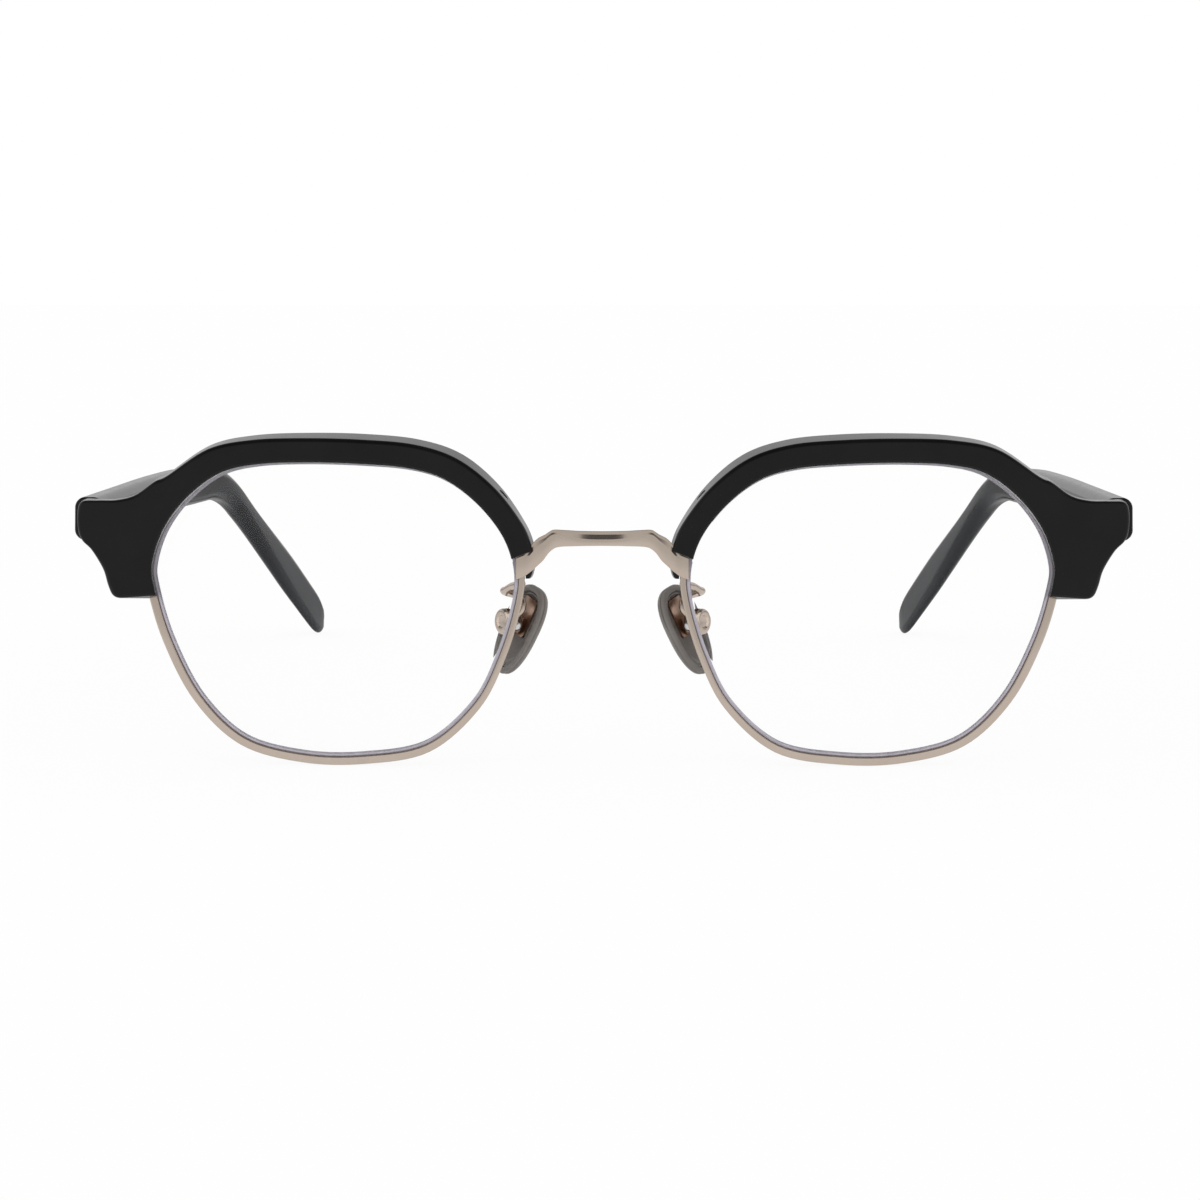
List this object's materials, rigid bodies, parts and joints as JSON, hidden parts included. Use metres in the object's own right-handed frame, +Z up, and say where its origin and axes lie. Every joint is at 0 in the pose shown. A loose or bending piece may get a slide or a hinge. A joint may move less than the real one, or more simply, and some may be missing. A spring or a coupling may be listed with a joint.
{
  "type": "combination eyeglasses",
  "caption": "Half rim combination spectacles: thin metal rims and bridge under thick acetate brow bars, folding acetate temples and rocking nose pads.",
  "frame": {"origin": "on the table under the middle of the spectacles' box, which stand with open temples on the bottoms of the rims and on the temple tips", "axes": "+X to the wearer's left, +Y back along the temples (the front faces -Y), +Z up"},
  "size_m": [0.1356, 0.1497, 0.0414],
  "materials": {
    "gold": "polished pale gold plating",
    "lens": "clear, coated",
    "acetate": "polished black cellulose acetate",
    "steel": "satin",
    "bronze": "satin",
    "pad": "smoky translucent",
    "screw": "polished"
  },
  "bodies": {
    "front": {"bridge": "gold", "rim_left": "gold", "rim_right": "gold", "lens_left": "lens", "lens_right": "lens", "brow_left": "acetate", "brow_right": "acetate", "rim_lock_upper_left": "gold", "rim_lock_upper_right": "gold", "rim_lock_lower_left": "gold", "rim_lock_lower_right": "gold", "rim_lock_screw_left": "screw", "rim_lock_screw_right": "screw", "brow_lug_left": "gold", "brow_lug_right": "gold", "brow_screw_left": "screw", "brow_screw_right": "screw", "endpiece_left": "gold", "endpiece_right": "gold", "endpiece_screw_left": "screw", "endpiece_screw_right": "screw", "hinge_screw_left": "screw", "hinge_screw_right": "screw", "pad_arm_left": "gold", "pad_arm_right": "gold", "pad_screw_left": "screw", "pad_screw_right": "screw"},
    "temple_left": {"temple_left": "acetate", "temple_core_left": "steel", "temple_hinge_left": "gold"},
    "temple_right": {"temple_right": "acetate", "temple_core_right": "steel", "temple_hinge_right": "gold"},
    "pad_left": {"pad_core_left": "bronze", "nose_pad_left": "pad"},
    "pad_right": {"pad_core_right": "bronze", "nose_pad_right": "pad"}
  },
  "joints": [
    {"name": "temple_left_hinge", "type": "hinge", "parent": "front", "child": "temple_left", "pos_m": [0.06249, -0.06293, 0.02979], "axis": [0, 0.0244, 0.9997], "range_deg": [0, 86]},
    {"name": "temple_right_hinge", "type": "hinge", "parent": "front", "child": "temple_right", "pos_m": [-0.06249, -0.06293, 0.02979], "axis": [0, -0.0244, -0.9997], "range_deg": [0, 77]},
    {"name": "pad_left_rock", "type": "hinge", "parent": "front", "child": "pad_left", "pos_m": [0.0117, -0.06785, 0.01758], "axis": [0.539, 0.7966, 0.2736], "range_deg": [-8, 8]},
    {"name": "pad_right_rock", "type": "hinge", "parent": "front", "child": "pad_right", "pos_m": [-0.0117, -0.06785, 0.01758], "axis": [-0.539, 0.7966, 0.2736], "range_deg": [-8, 8]}
  ]
}
